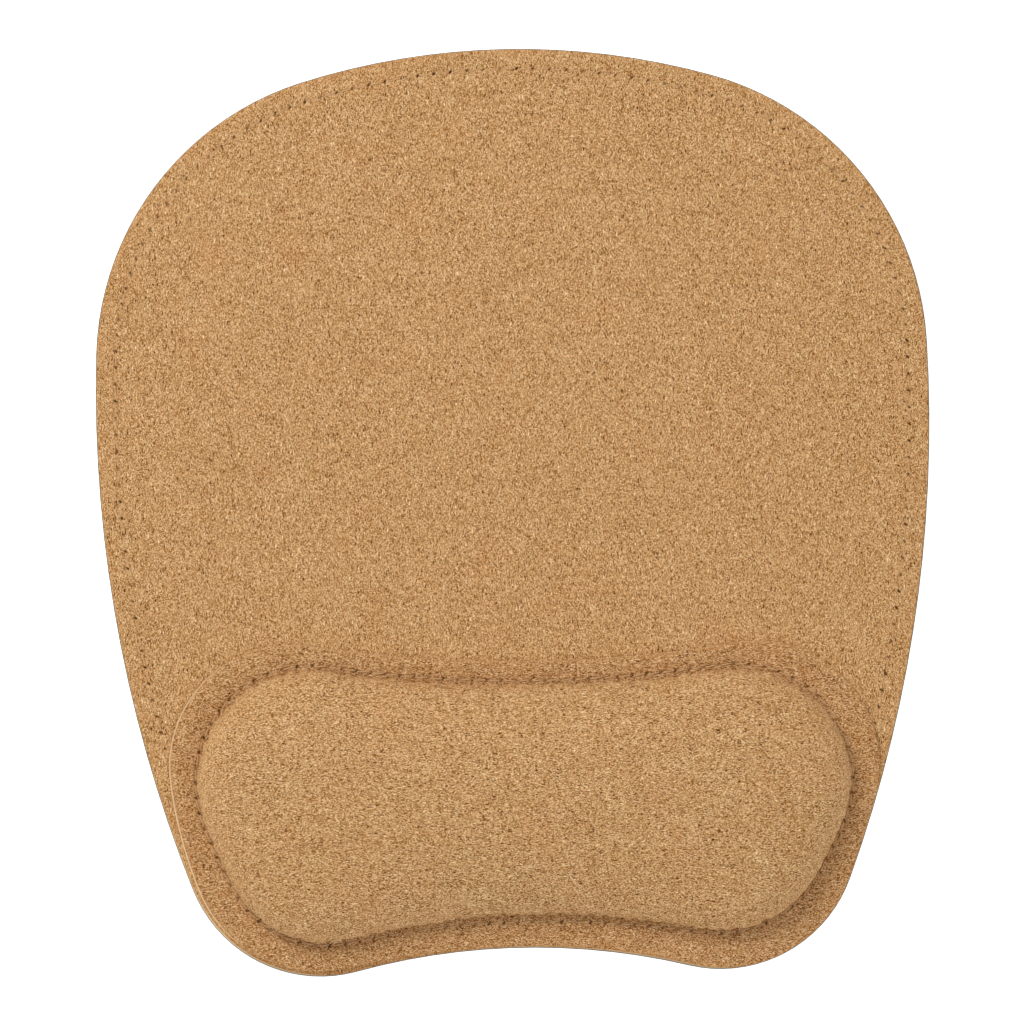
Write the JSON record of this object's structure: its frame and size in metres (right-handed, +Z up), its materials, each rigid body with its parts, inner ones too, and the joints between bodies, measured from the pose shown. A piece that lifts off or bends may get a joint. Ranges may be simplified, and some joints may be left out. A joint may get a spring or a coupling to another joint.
{
  "type": "mouse pad with wrist rest",
  "caption": "Cork-faced mouse pad with rounded rear corners, a hollowed front edge and a stitched, padded wrist rest along the front.",
  "frame": {"origin": "middle of the underside, half-way along the mat's length and across its width, on the desk", "axes": "+Z up from the desk; +Y away from the user, along the mat's length; +X to the user's right"},
  "size_m": [0.23, 0.255, 0.02],
  "materials": {
    "mat_cork": "matt granulated cork sheet on cloth",
    "rest_cork": "matt granulated cork sheet on cloth, stretched over foam",
    "backing_cloth": "unbleached woven cloth",
    "core_foam": "dark closed-cell foam, cut edge",
    "cushion_foam": "slow-recovery foam",
    "base_rubber": "fine-textured non-slip sheet",
    "thread": "spun polyester sewing thread",
    "glue": "dried contact adhesive"
  },
  "bodies": {
    "root": {"base_sheet": "base_rubber", "mat_core": "core_foam", "mat_cloth": "backing_cloth", "mat_cork": "mat_cork", "mat_needle_thread": "thread", "mat_bobbin_thread": "thread", "rest_glue": "glue", "rest_liner": "backing_cloth", "rest_foam": "cushion_foam", "rest_cloth": "backing_cloth", "rest_cork": "rest_cork", "rest_needle_thread": "thread", "rest_bobbin_thread": "thread"}
  },
  "joints": []
}
